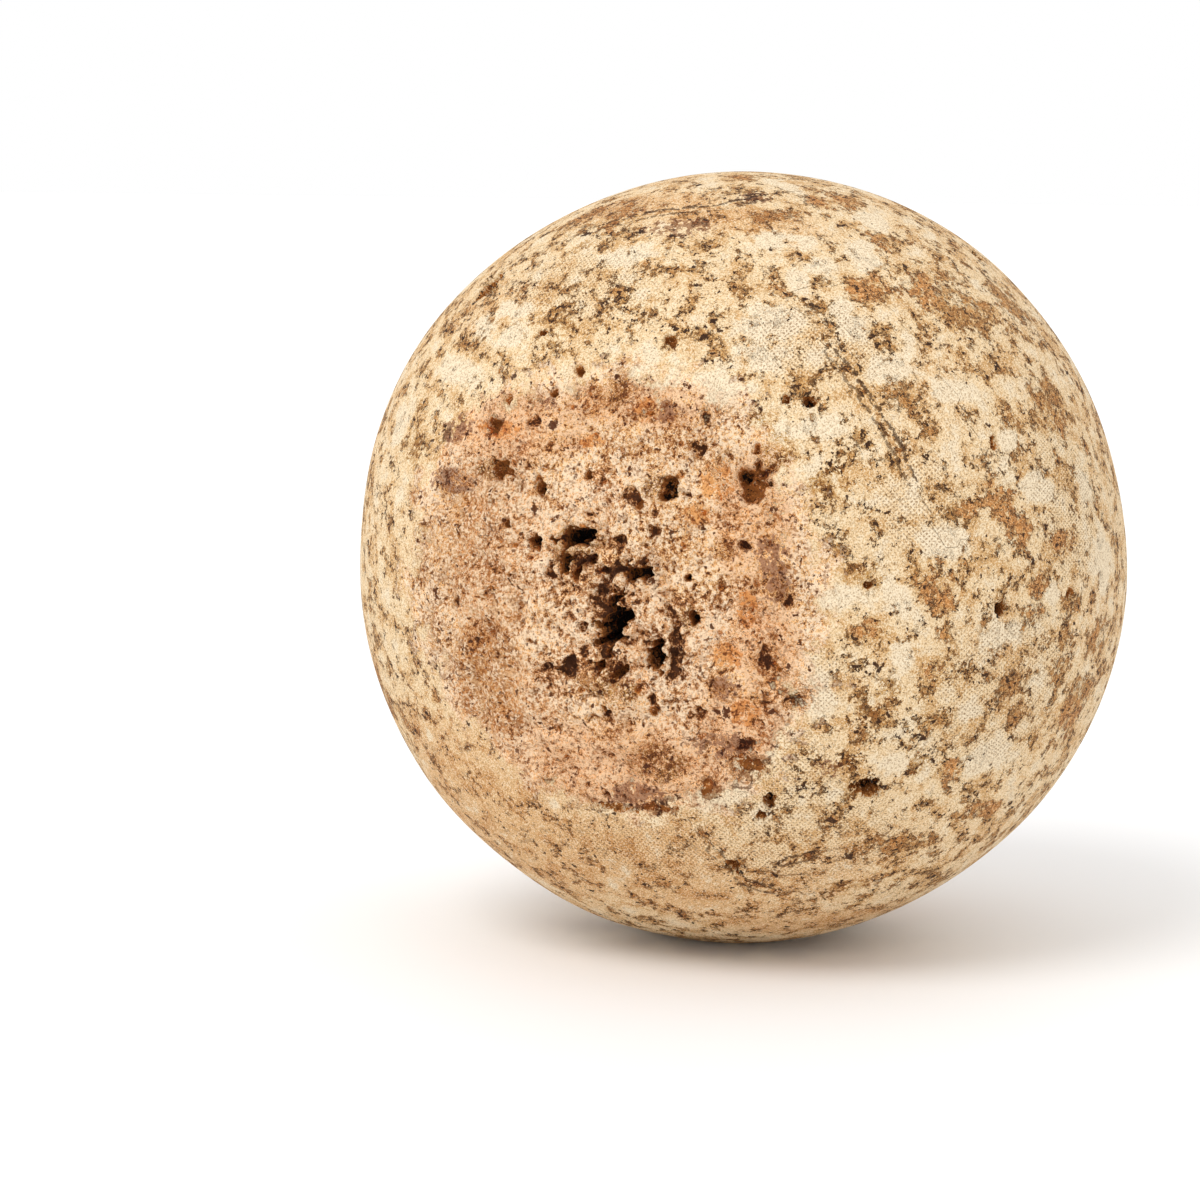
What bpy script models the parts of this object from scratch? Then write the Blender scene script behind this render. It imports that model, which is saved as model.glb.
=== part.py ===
"""A whole ball of mimolette, a hard cheese that has aged for a long time, standing on its rim.

The cheese is one solid: a round loaf, a little flatter from front to back than it is wide.
Its front (-Y) and back (+Y) are the faces that it lay on while it aged. Mites have eaten the
rind there into crags and holes. The rest of the rind is firm, with low lumps and a few pits.
The ball rests on a small spot of its rim that its own weight has flattened.

Metres, +Z up. The origin is at the middle of the bottom of the ball's box.
"""

import math
import random
from collections import namedtuple

import bmesh
import bpy
from mathutils import Matrix, Vector, noise

MM = 0.001

# The smooth loaf: how wide and deep it is, and how full its profile is (2 is an ellipse)
RADIUS = 100 * MM
HALF_DEPTH = 84 * MM
FULLNESS = 2.2
REST_SPOT_RADIUS = 15 * MM
REST_SPOT_BLEND = 14 * MM

# Low lumps all over the rind. Where the noise starts decides where the lumps lie
LUMP_HEIGHT = 1.1 * MM
LUMP_LENGTH = 42 * MM
LUMP_START = Vector((156.4, 80.7, 41.3))

# The two eaten faces: their rind lies lower than the skin round it, and is craggy
FACE_EDGE = 5 * MM
FACE_RAGGEDNESS = 9 * MM
FACE_RAGGED_LENGTH = 17 * MM
FACE_SUNK = 0.5 * MM
CRAG_HEIGHT = 2.4 * MM
CRAG_LENGTH = 9 * MM
CRAG_CEILING = 0.2

# A pit's wall runs between these two fractions of its half width, and its rim is ragged
PIT_FLOOR = 0.55
PIT_RIM = 1.2
PIT_RAGGEDNESS = 0.45
PIT_RAGGED_LENGTH = 2.6 * MM
HOLLOW_FLOOR = 0.0
HOLLOW_RIM = 1.35

# Edge lengths above which the mesh is divided further
FACE_MESH = 4.6 * MM
REST_SPOT_MESH = 4.0 * MM
REST_SPOT_SLIVER = 0.9 * MM
PIT_MESH_COARSE = 2.6 * MM
PIT_MESH_FINE = 2.0 * MM
PIT_MESH_SHARE = 0.42
BASE_SUBDIVISIONS = 5
REFINING_PASSES = 3

SCATTER_SEED = 18
RIND_COLOUR = (0.66, 0.50, 0.31, 1.0)
RIND_ROUGHNESS = 0.86

# A place on the ball is a bearing, in degrees from the front towards +X, and a height, in
# degrees above the middle. Widths, heights and depths are in millimetres.
Face = namedtuple("Face", "bearing height radius")
Pit = namedtuple("Pit", "bearing height wide tall deep lean")
Carving = namedtuple("Carving", "centre right up half_wide half_tall deep")

FACES = [
    Face(-6, -2, 55),
    Face(176, 3, 50),
]

# Broad eaten hollows in the front face
HOLLOWS = [
    Pit(-8, 7, 15, 19, 2.2, 0),
    Pit(3, 3, 15, 12, 1.8, 0),
    Pit(3, -9, 21, 12, 2.2, 15),
    Pit(-23, 17, 14, 10, 1.6, 10),
    Pit(20, 20, 12, 14, 1.4, 0),
]

# Holes in the front face, the deepest first
FRONT_PITS = [
    Pit(-1.5, -4.5, 7.5, 13, 14, 22),
    Pit(-8.5, 9.5, 10.5, 5, 10, -12),
    Pit(-10.5, 5, 2.6, 10, 5, 6),
    Pit(-16.5, 8, 4.5, 3.5, 8, 0),
    Pit(6, -10, 6, 7, 8, 20),
    Pit(3, 4, 7, 5, 6, -20),
    Pit(-8, 3, 2.6, 4, 5, 0),
    Pit(-4, -12, 3, 3, 5, 0),
    Pit(-0.5, -13, 5, 2.8, 4, -20),
    Pit(12.5, -3, 3, 4, 5, 0),
    Pit(8, 18, 4.2, 5.8, 5, 10),
    Pit(22, 18.5, 6.5, 9, 4, 15),
    Pit(-16, 17, 4, 5, 4, 0),
    Pit(-24.5, 19, 7, 4.5, 3.5, 20),
]

# Smaller holes in the firm rind round it
SIDE_PITS = [
    Pit(60, -2, 3.2, 3.6, 7, 0),
    Pit(74, -0.5, 2.8, 2.4, 5, 0),
    Pit(42, -29, 6, 4.6, 7, 10),
    Pit(-52, 46.5, 9, 4, 6, 40),
    Pit(32, 30.5, 4.2, 3, 4, 0),
    Pit(25.5, -32.5, 3, 4, 4, 20),
    Pit(19, -46, 4, 4.2, 3, 0),
    Pit(-28, 26, 5.6, 4.4, 3, 30),
]

# Holes on the sides that the front doesn't show follow a rule, within these ranges
BACK_FACE_PITS = 9
BACK_FACE_SPREAD = 26
BACK_SIDE_PITS = 6
BACK_BEARINGS = (95, 265)
BACK_HEIGHTS = (-50, 55)
SCATTER_SIZES = (3, 6.5)
SCATTER_DEPTHS = (3, 8)


def clear_scene():
    for obj in list(bpy.data.objects):
        bpy.data.objects.remove(obj, do_unlink=True)


def smooth_step(low, high, value):
    share = min(1.0, max(0.0, (value - low) / (high - low)))
    return share * share * (3 - 2 * share)


def direction(bearing, height):
    turn = math.radians(bearing)
    rise = math.radians(height)
    return Vector((math.sin(turn) * math.cos(rise), -math.cos(turn) * math.cos(rise), math.sin(rise)))


def loaf_point(way):
    """The point of the smooth loaf that lies this way from its centre."""
    across = math.hypot(way.x, way.z) / RADIUS
    along = abs(way.y) / HALF_DEPTH
    return way * (across**FULLNESS + along**FULLNESS) ** (-1 / FULLNESS)


def loaf_normal(point):
    """The way out of the smooth loaf at a point of its surface."""
    across = math.hypot(point.x, point.z)
    around = across ** (FULLNESS - 2) / RADIUS**FULLNESS
    along = math.copysign(abs(point.y) ** (FULLNESS - 1), point.y) / HALF_DEPTH**FULLNESS
    return Vector((point.x * around, along, point.z * around)).normalized()


def carving(pit):
    """A pit's place on the loaf, with its own right and up along the surface."""
    centre = loaf_point(direction(pit.bearing, pit.height))
    out = loaf_normal(centre)
    right = Vector((0, 0, 1)).cross(out).normalized()
    up = out.cross(right)
    turn = Matrix.Rotation(math.radians(-pit.lean), 3, out)
    return Carving(
        centre, turn @ right, turn @ up, pit.wide / 2 * MM, pit.tall / 2 * MM, pit.deep * MM
    )


def scattered_pits():
    """Pits for the back face and the hidden sides, as uneven as the ones in front."""
    rng = random.Random(SCATTER_SEED)
    back = FACES[1]
    places = []
    for _ in range(BACK_FACE_PITS):
        turn = rng.uniform(0, math.tau)
        away = BACK_FACE_SPREAD * math.sqrt(rng.random())
        places.append((back.bearing + away * math.cos(turn), back.height + away * math.sin(turn)))
    for _ in range(BACK_SIDE_PITS):
        places.append((rng.uniform(*BACK_BEARINGS), rng.uniform(*BACK_HEIGHTS)))
    pits = []
    for bearing, height in places:
        wide = rng.uniform(*SCATTER_SIZES)
        tall = rng.uniform(*SCATTER_SIZES)
        deep = rng.uniform(*SCATTER_DEPTHS)
        pits.append(Pit(bearing, height, wide, tall, deep, rng.uniform(0, 180)))
    return pits


def face_share(point, face):
    """1 on an eaten face and 0 off it, with a ragged edge between."""
    centre = loaf_point(direction(face.bearing, face.height))
    away = (point - centre).length + FACE_RAGGEDNESS * noise.noise(point / FACE_RAGGED_LENGTH)
    return 1 - smooth_step(face.radius * MM - FACE_EDGE, face.radius * MM, away)


def carved_depth(point, cut, floor, rim):
    """How far a pit or a hollow goes into the loaf at this point."""
    offset = point - cut.centre
    reach = rim + PIT_RAGGEDNESS
    if offset.length > reach * max(cut.half_wide, cut.half_tall):
        return 0.0
    across = offset.dot(cut.right) / cut.half_wide
    along = offset.dot(cut.up) / cut.half_tall
    away = math.hypot(across, along) + PIT_RAGGEDNESS * noise.noise(point / PIT_RAGGED_LENGTH)
    return cut.deep * (1 - smooth_step(floor, rim, away))


def relief(point, pits, hollows):
    """The height of the real surface over the smooth loaf: lumps up, eaten places down."""
    height = LUMP_HEIGHT * noise.noise(point / LUMP_LENGTH + LUMP_START)
    eaten = max(face_share(point, face) for face in FACES)
    crags = noise.fractal(point / CRAG_LENGTH, 1.0, 2.0, 2)
    height += eaten * (CRAG_HEIGHT * min(crags, CRAG_CEILING) - FACE_SUNK)
    height -= max(carved_depth(point, cut, HOLLOW_FLOOR, HOLLOW_RIM) for cut in hollows)
    height -= max(carved_depth(point, cut, PIT_FLOOR, PIT_RIM) for cut in pits)
    bottom = Vector((0, 0, -RADIUS))
    away = (point - bottom).length
    return height * smooth_step(REST_SPOT_RADIUS, REST_SPOT_RADIUS + REST_SPOT_BLEND, away)


def wanted_edge(point, pits, reach):
    """The longest edge that still shows the relief within reach of this point."""
    wanted = RADIUS
    for face in FACES:
        centre = loaf_point(direction(face.bearing, face.height))
        if (point - centre).length < face.radius * MM:
            wanted = FACE_MESH
    if (point - Vector((0, 0, -RADIUS))).length < REST_SPOT_RADIUS + reach:
        wanted = REST_SPOT_MESH
    for cut in pits:
        if (point - cut.centre).length < max(cut.half_wide, cut.half_tall) + reach:
            share = 2 * PIT_MESH_SHARE * min(cut.half_wide, cut.half_tall)
            wanted = min(wanted, PIT_MESH_COARSE, max(share, PIT_MESH_FINE))
    return wanted


def refine(bm, pits):
    """Divides the edges that are too long for their place, and puts the new points on the loaf."""
    long_edges = []
    for edge in bm.edges:
        middle = (edge.verts[0].co + edge.verts[1].co) / 2
        length = edge.calc_length()
        if length > wanted_edge(middle, pits, length / 2):
            long_edges.append(edge)
    bmesh.ops.subdivide_edges(bm, edges=long_edges, cuts=1)
    bmesh.ops.triangulate(bm, faces=[face for face in bm.faces if len(face.verts) > 3])
    for vert in bm.verts:
        vert.co = loaf_point(vert.co)


def flatten_rest_spot(bm):
    """Cuts the flat spot and closes it with one face."""
    level = -math.sqrt(RADIUS**2 - REST_SPOT_RADIUS**2)
    everything = bm.verts[:] + bm.edges[:] + bm.faces[:]
    bmesh.ops.bisect_plane(
        bm, geom=everything, plane_co=(0, 0, level), plane_no=(0, 0, -1), clear_outer=True
    )
    rim_points = [vert for vert in bm.verts if vert.is_boundary]
    bmesh.ops.remove_doubles(bm, verts=rim_points, dist=REST_SPOT_SLIVER)
    rim = [edge for edge in bm.edges if edge.is_boundary]
    bmesh.ops.contextual_create(bm, geom=rim)


def stand_on_origin(bm):
    """Puts the middle of the bottom of the box at the origin."""
    xs = [vert.co.x for vert in bm.verts]
    ys = [vert.co.y for vert in bm.verts]
    zs = [vert.co.z for vert in bm.verts]
    middle = Vector(((min(xs) + max(xs)) / 2, (min(ys) + max(ys)) / 2, min(zs)))
    bmesh.ops.translate(bm, vec=-middle, verts=bm.verts)


def rind_material():
    material = bpy.data.materials.new("rind")
    material.use_nodes = True
    shader = material.node_tree.nodes["Principled BSDF"]
    shader.inputs["Base Color"].default_value = RIND_COLOUR
    shader.inputs["Roughness"].default_value = RIND_ROUGHNESS
    shader.inputs["Metallic"].default_value = 0.0
    material.diffuse_color = RIND_COLOUR
    return material


def build_cheese():
    pits = [carving(pit) for pit in FRONT_PITS + SIDE_PITS + scattered_pits()]
    hollows = [carving(hollow) for hollow in HOLLOWS]
    bm = bmesh.new()
    bmesh.ops.create_icosphere(bm, subdivisions=BASE_SUBDIVISIONS, radius=1.0)
    for vert in bm.verts:
        vert.co = loaf_point(vert.co)
    for _ in range(REFINING_PASSES):
        refine(bm, pits)
    for vert in bm.verts:
        vert.co += loaf_normal(vert.co) * relief(vert.co, pits, hollows)
    flatten_rest_spot(bm)
    stand_on_origin(bm)
    bmesh.ops.recalc_face_normals(bm, faces=bm.faces)
    bmesh.ops.triangulate(bm, faces=bm.faces)
    mesh = bpy.data.meshes.new("cheese_ball")
    bm.to_mesh(mesh)
    bm.free()
    mesh.shade_smooth()
    mesh.set_sharp_from_angle(angle=math.radians(50))
    mesh.materials.append(rind_material())
    cheese = bpy.data.objects.new("cheese_ball", mesh)
    bpy.context.scene.collection.objects.link(cheese)
    print("cheese_ball:", len(mesh.polygons), "triangles,", [round(1000 * s, 1) for s in cheese.dimensions])


clear_scene()
build_cheese()
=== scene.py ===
# %% [markdown]
# # A ball of mimolette
#
# Mimolette is a hard cheese that ages in a cellar for a year or two. Nobody washes it, so cheese
# mites graze on the rind. They leave a cream crust with brown, gritty gaps, and on the two faces
# that the ball lay on they dig deep into it. This lesson builds the whole ball: its form comes
# from one formula, its crags and holes from displaced points, and its crust from layers of noise.

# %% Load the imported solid
import math
import random
from collections import namedtuple

import bmesh
import bpy
from mathutils import Matrix, Vector, noise
from mathutils.kdtree import KDTree


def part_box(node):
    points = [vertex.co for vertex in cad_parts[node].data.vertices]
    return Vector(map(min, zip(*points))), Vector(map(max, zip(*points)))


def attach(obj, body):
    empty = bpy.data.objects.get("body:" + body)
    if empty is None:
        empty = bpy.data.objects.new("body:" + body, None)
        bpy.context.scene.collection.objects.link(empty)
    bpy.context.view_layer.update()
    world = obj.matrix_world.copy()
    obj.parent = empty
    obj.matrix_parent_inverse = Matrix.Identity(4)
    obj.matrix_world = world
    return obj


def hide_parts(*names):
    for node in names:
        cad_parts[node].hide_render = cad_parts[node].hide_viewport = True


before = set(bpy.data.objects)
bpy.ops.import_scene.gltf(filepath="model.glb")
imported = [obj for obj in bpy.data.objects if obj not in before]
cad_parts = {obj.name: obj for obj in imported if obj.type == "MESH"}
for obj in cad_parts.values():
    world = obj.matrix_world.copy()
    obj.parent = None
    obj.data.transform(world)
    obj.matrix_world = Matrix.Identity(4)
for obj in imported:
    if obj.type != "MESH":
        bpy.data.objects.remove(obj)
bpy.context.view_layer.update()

CHEESE_NODE = "cheese_ball"
low_corner, high_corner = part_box(CHEESE_NODE)
print("the solid's box in mm:", [round(1000 * side) for side in high_corner - low_corner])

# %% [markdown]
# ## The smooth loaf
#
# Under all its lumps the cheese is a round loaf, 20 cm across and a little flatter from front to
# back. A sphere pushed out to a superellipse has just that form: the exponent says how full the
# shoulders are, and 2 would be a plain ellipsoid. Every later step asks these functions where the
# surface is. A place on the ball is a bearing, in degrees from the front towards +X, and a height,
# in degrees above the middle.

# %% The loaf's formula
MM = 0.001
RADIUS = 100 * MM
HALF_DEPTH = 84 * MM
FULLNESS = 2.2
REST_SPOT_RADIUS = 15 * MM
REST_SPOT_BLEND = 14 * MM
CENTRE_HEIGHT = math.sqrt(RADIUS**2 - REST_SPOT_RADIUS**2)


def smooth_step(low, high, value):
    """0 below low, 1 above high and smooth between."""
    share = min(1.0, max(0.0, (value - low) / (high - low)))
    return share * share * (3 - 2 * share)


def direction(bearing, height):
    """The unit vector towards a place on the ball."""
    turn = math.radians(bearing)
    rise = math.radians(height)
    return Vector((math.sin(turn) * math.cos(rise), -math.cos(turn) * math.cos(rise), math.sin(rise)))


def loaf_point(way):
    """The point of the smooth loaf that lies this way from its centre."""
    across = math.hypot(way.x, way.z) / RADIUS
    along = abs(way.y) / HALF_DEPTH
    return way * (across**FULLNESS + along**FULLNESS) ** (-1 / FULLNESS)


def loaf_normal(point):
    """The way out of the smooth loaf at a point of its surface."""
    across = math.hypot(point.x, point.z)
    around = across ** (FULLNESS - 2) / RADIUS**FULLNESS
    along = math.copysign(abs(point.y) ** (FULLNESS - 1), point.y) / HALF_DEPTH**FULLNESS
    return Vector((point.x * around, along, point.z * around)).normalized()


print("the centre stands", round(1000 * CENTRE_HEIGHT, 1), "mm over the floor")

# %% [markdown]
# ## Camera, floor and light
#
# The photograph looks at the ball from a little to the right of its front face and from slightly
# above, with a long lens, so the outline is nearly a circle. The camera looks past the ball, which
# sits right of the frame's middle. The ball's radius and centre in the photograph, in pixels, are
# all that it needs.

# %% Camera
PHOTO_SIZE = 1200
BALL_PIXELS = 385.8
BALL_ACROSS = 738.8
BALL_DOWN = 557.0
CAMERA_BEARING = 20
CAMERA_HEIGHT = 7
CAMERA_DISTANCE = 1.0
SENSOR = 36.0

ball_centre = Vector((0, 0, CENTRE_HEIGHT))
towards_camera = direction(CAMERA_BEARING, CAMERA_HEIGHT)
camera_right = Vector((0, 0, 1)).cross(towards_camera).normalized()
camera_up = towards_camera.cross(camera_right)
focal_pixels = BALL_PIXELS / math.tan(math.asin(RADIUS / CAMERA_DISTANCE))
pixel = CAMERA_DISTANCE / focal_pixels
aim = ball_centre - camera_right * (BALL_ACROSS - PHOTO_SIZE / 2) * pixel
aim += camera_up * (BALL_DOWN - PHOTO_SIZE / 2) * pixel

camera_data = bpy.data.cameras.new("camera")
camera_data.sensor_width = SENSOR
camera_data.lens = focal_pixels / PHOTO_SIZE * SENSOR
camera = bpy.data.objects.new("camera", camera_data)
camera.location = ball_centre + towards_camera * CAMERA_DISTANCE
camera.rotation_euler = (aim - camera.location).to_track_quat("-Z", "Y").to_euler()
bpy.context.scene.collection.objects.link(camera)
bpy.context.scene.camera = camera
print("lens:", round(camera_data.lens), "mm")

# %% [markdown]
# The light is a bright, even studio: a pale floor, a white world, and one very soft lamp from the
# upper left that brings out the relief. A sun lamp does for that, because only its direction and
# the size of its patch of sky matter.

# %% Floor, lamp and world
FLOOR_SIZE = 12.0
FLOOR_TONE = (0.93, 0.93, 0.93, 1.0)
FLOOR_ROUGHNESS = 0.6
WORLD_TONE = (1.0, 1.0, 1.0, 1.0)
WORLD_STRENGTH = 1.0
KEY_STRENGTH = 1.1
KEY_SOFTNESS = 30
KEY_BEARING = -22
KEY_HEIGHT = 52


def make_floor():
    material = bpy.data.materials.new("pale_floor")
    material.use_nodes = True
    shader = material.node_tree.nodes["Principled BSDF"]
    shader.inputs["Base Color"].default_value = FLOOR_TONE
    shader.inputs["Roughness"].default_value = FLOOR_ROUGHNESS
    bm = bmesh.new()
    bmesh.ops.create_grid(bm, x_segments=1, y_segments=1, size=FLOOR_SIZE / 2)
    mesh = bpy.data.meshes.new("floor")
    bm.to_mesh(mesh)
    bm.free()
    mesh.materials.append(material)
    floor = bpy.data.objects.new("floor", mesh)
    bpy.context.scene.collection.objects.link(floor)


def make_key_lamp():
    data = bpy.data.lights.new("key_lamp", "SUN")
    data.angle = math.radians(KEY_SOFTNESS)
    data.energy = KEY_STRENGTH
    lamp = bpy.data.objects.new("key_lamp", data)
    lamp.location = ball_centre + direction(KEY_BEARING, KEY_HEIGHT)
    lamp.rotation_euler = (ball_centre - lamp.location).to_track_quat("-Z", "Y").to_euler()
    bpy.context.scene.collection.objects.link(lamp)


make_floor()
make_key_lamp()
world = bpy.data.worlds.new("studio")
world.use_nodes = True
background = world.node_tree.nodes["Background"]
background.inputs["Color"].default_value = WORLD_TONE
background.inputs["Strength"].default_value = WORLD_STRENGTH
bpy.context.scene.world = world
bpy.context.scene.view_settings.view_transform = "Standard"
print("the lamp's patch of sky is", KEY_SOFTNESS, "degrees wide")

# %% [markdown]
# ## Where the crust is eaten
#
# The two flat faces are pink and crumbly, because the mites had them to themselves under the ball.
# In the front one they have dug hollows and deep holes. A hole is a place, a width, a height and a
# depth in millimetres, and a lean in degrees. A hollow is written in the same way, but it is a
# broad, shallow bowl.

# %% Faces and hollows
Face = namedtuple("Face", "bearing height radius")
Pit = namedtuple("Pit", "bearing height wide tall deep lean")
FACES = [Face(-6, -2, 55), Face(176, 3, 50)]


def listed(*rows):
    """Pits from rows of their six numbers."""
    return [Pit(*row) for row in rows]


HOLLOWS = listed(
    (-8, 7, 15, 19, 2.2, 0), (3, 3, 15, 12, 1.8, 0), (3, -9, 21, 12, 2.2, 15),
    (-23, 17, 14, 10, 1.6, 10), (20, 20, 12, 14, 1.4, 0),
)
print(len(HOLLOWS), "hollows in the front face")

# %% [markdown]
# The holes that the photograph shows are listed one by one. The deepest lie in the middle of the
# front face, and the sides have only a few. The last list holds what is too small or too shallow
# for the plain solid: little pits, and at its end four patches where the crust has shed its skin.

# %% Holes that the photograph shows
FRONT_PITS = listed(
    (-1.5, -4.5, 7.5, 13, 14, 22), (-8.5, 9.5, 10.5, 5, 10, -12), (-10.5, 5, 2.6, 10, 5, 6),
    (-16.5, 8, 4.5, 3.5, 8, 0), (6, -10, 6, 7, 8, 20), (3, 4, 7, 5, 6, -20), (-8, 3, 2.6, 4, 5, 0),
    (-4, -12, 3, 3, 5, 0), (-0.5, -13, 5, 2.8, 4, -20), (12.5, -3, 3, 4, 5, 0),
    (8, 18, 4.2, 5.8, 5, 10), (22, 18.5, 6.5, 9, 2.8, 15), (-16, 17, 4, 5, 4, 0),
    (-24.5, 19, 7, 4.5, 2.8, 20),
)

SIDE_PITS = listed(
    (60, -2, 3.2, 3.6, 7, 0), (74, -0.5, 2.8, 2.4, 5, 0), (42, -29, 6, 4.6, 7, 10),
    (-50, 46.3, 7.2, 6.5, 9, 20), (32, 30.5, 4.2, 3, 4, 0), (25.5, -32.5, 3, 4, 4, 20),
    (19, -46, 4, 4.2, 4.5, 0), (-28, 26, 5.6, 4.4, 3, 30),
)

SMALL_PITS = listed(
    (-5.5, 5.5, 2.2, 2.6, 4, 0), (11.5, 3.5, 2, 2, 4, 0), (23, 23.5, 2.2, 3.2, 2.5, 0),
    (39.5, 2.5, 2.8, 1.8, 3, 0), (28, 31, 2.2, 2.6, 3, 0), (62, 22, 2.8, 3.2, 2.5, 20),
    (24, -35.5, 2.4, 3.4, 4, 10), (-30, 34, 1.8, 3, 3, 0), (-12, 35.5, 3, 2.6, 3, 20),
    (-16.5, 32, 3, 2, 2.5, -30), (-25.5, 30, 2.4, 2.8, 2.5, 0), (-7, 19.5, 2.2, 2.8, 2.5, 0),
    (-21.5, 10.5, 2.2, 2.2, 3, 0), (-4, -19, 2.8, 2.8, 3, 0), (5, -19, 2, 2.4, 2, 0),
    (3, 15, 2, 2.6, 2.5, 0), (-23, 41, 3.4, 1.8, 2.5, -30), (6, 41, 2.4, 3.6, 2.5, -40),
    (21, 20, 2.6, 3.6, 5, 30), (22, -27, 8, 6, 1.3, 20), (14.5, -31.5, 4, 4.5, 1.1, 0),
    (4.5, -36, 9, 3, 1.2, 0), (-4, -36.5, 11, 2.6, 2.0, 0),
)
print(len(FRONT_PITS) + len(SIDE_PITS), "holes and", len(SMALL_PITS), "small ones")

# %% [markdown]
# The back and the hidden sides have holes too, and both faces are full of crumb pits a millimetre
# or two wide. They are drawn at random, with a fixed seed that gives the same ball in every run.
# The root of a random number spreads them evenly over a disc.

# %% Holes by rule
BACK_FACE_PITS = 9
BACK_FACE_SPREAD = 26
BACK_SIDE_PITS = 6
BACK_BEARINGS = (95, 265)
BACK_HEIGHTS = (-50, 55)
SCATTER_SEED = 18
SCATTER_SIZES = (3, 6.5)
SCATTER_DEPTHS = (3, 8)
CRUMB_PITS = 70
CRUMB_SEED = 5
CRUMB_SPREAD = 34
CRUMB_SIZES = (1.2, 2.4)
CRUMB_SLENDERNESS = (0.6, 1.5)
CRUMB_DEPTHS = (0.7, 1.8)


def place_on(face, spread, rng):
    """A place within so many degrees of a face's middle."""
    turn = rng.uniform(0, math.tau)
    away = spread * math.sqrt(rng.random())
    return face.bearing + away * math.cos(turn), face.height + away * math.sin(turn)


def scattered_pits():
    """Pits for the back face and the hidden sides."""
    rng = random.Random(SCATTER_SEED)
    places = [place_on(FACES[1], BACK_FACE_SPREAD, rng) for _ in range(BACK_FACE_PITS)]
    for _ in range(BACK_SIDE_PITS):
        places.append((rng.uniform(*BACK_BEARINGS), rng.uniform(*BACK_HEIGHTS)))
    pits = []
    for place in places:
        wide = rng.uniform(*SCATTER_SIZES)
        tall = rng.uniform(*SCATTER_SIZES)
        deep = rng.uniform(*SCATTER_DEPTHS)
        pits.append(Pit(*place, wide, tall, deep, rng.uniform(0, 180)))
    return pits


def crumb_pits():
    """The many little pits of both eaten faces."""
    rng = random.Random(CRUMB_SEED)
    pits = []
    for face in FACES:
        for _ in range(CRUMB_PITS):
            place = place_on(face, CRUMB_SPREAD, rng)
            size = rng.uniform(*CRUMB_SIZES)
            tall = size * rng.uniform(*CRUMB_SLENDERNESS)
            deep = rng.uniform(*CRUMB_DEPTHS)
            pits.append(Pit(*place, size, tall, deep, rng.uniform(0, 180)))
    return pits


all_pits = FRONT_PITS + SIDE_PITS + SMALL_PITS + scattered_pits()
all_crumb_pits = crumb_pits()
print(len(all_pits), "holes and", len(all_crumb_pits), "crumb pits")

# %% [markdown]
# To cut a pit, the relief needs its centre on the loaf and the two directions in which its width
# and height run along the surface. They are worked out once per pit, and not at every point.

# %% From a pit to a carving
Carving = namedtuple("Carving", "centre right up half_wide half_tall deep")


def carving(pit):
    """A pit's place on the loaf, with its own right and up along the surface."""
    centre = loaf_point(direction(pit.bearing, pit.height))
    out = loaf_normal(centre)
    right = Vector((0, 0, 1)).cross(out).normalized()
    up = out.cross(right)
    turn = Matrix.Rotation(math.radians(-pit.lean), 3, out)
    half_wide = pit.wide / 2 * MM
    half_tall = pit.tall / 2 * MM
    return Carving(centre, turn @ right, turn @ up, half_wide, half_tall, pit.deep * MM)


big_cuts = [carving(pit) for pit in all_pits]
crumb_cuts = [carving(pit) for pit in all_crumb_pits]
hollow_cuts = [carving(hollow) for hollow in HOLLOWS]
print("the deepest hole goes", round(max(cut.deep for cut in big_cuts) / MM), "mm in")

# %% [markdown]
# ## Finding what is near
#
# The mesh will have some eighty thousand points, and asking each of them about every hole would
# take minutes. A k-d tree sorts the places once, and then gives those within reach of a point in
# a few steps.


# %% A finder for nearby places
class Nearby:
    """Gives the carvings whose centre is within reach of a point."""

    def __init__(self, cuts, reach):
        self.cuts = cuts
        self.reach = reach
        self.tree = KDTree(len(cuts))
        for number, cut in enumerate(cuts):
            self.tree.insert(cut.centre, number)
        self.tree.balance()

    def around(self, point):
        return [self.cuts[number] for _, number, _ in self.tree.find_range(point, self.reach)]


def widest(cuts):
    return max(max(cut.half_wide, cut.half_tall) for cut in cuts)


PIT_FLOOR = 0.6
PIT_RIM = 1.1
PIT_RAGGEDNESS = 0.6
RAGGED_REACH = 0.5
near_big = Nearby(big_cuts, widest(big_cuts) * (PIT_RIM + RAGGED_REACH))
near_crumbs = Nearby(crumb_cuts, widest(crumb_cuts) * (PIT_RIM + RAGGED_REACH))
print("a point looks", round(1000 * near_big.reach, 1), "mm around it for holes")

# %% [markdown]
# ## Relief
#
# The relief is a height over the smooth loaf, and its first part is where an eaten face ends. A
# face is only roughly round, so twelve radii give its outline, and a noise frays it.

# %% The edge of an eaten face
# The outline, every 30 degrees, as a share of the face's radius
OUTLINE = (1.03, 1.07, 1.10, 1.02, 1.05, 1.05, 1.0, 0.91, 0.9, 0.94, 1.0, 1.05)
BORDER_LENGTH = 9 * MM
BORDER_RAGGEDNESS = 5 * MM
BORDER_OCTAVES = 3
OCTAVE_FALL = 1.0
OCTAVE_RATIO = 2.0
FACE_CUTS = [carving(Pit(*face[:2], 2 * face.radius, 2 * face.radius, 1, 0)) for face in FACES]


def inside_face(point, cut):
    """How far inside an eaten face's ragged edge a point is, in metres, and below 0 outside it."""
    offset = point - cut.centre
    turn = math.degrees(math.atan2(offset.dot(cut.up), offset.dot(cut.right))) % 360
    step, share = divmod(turn / 360 * len(OUTLINE), 1)
    low = OUTLINE[int(step)]
    high = OUTLINE[(int(step) + 1) % len(OUTLINE)]
    frayed = noise.fractal(point / BORDER_LENGTH, OCTAVE_FALL, OCTAVE_RATIO, BORDER_OCTAVES)
    ragged = BORDER_RAGGEDNESS * frayed
    return cut.half_wide * (low + (high - low) * share) - offset.length + ragged


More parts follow.
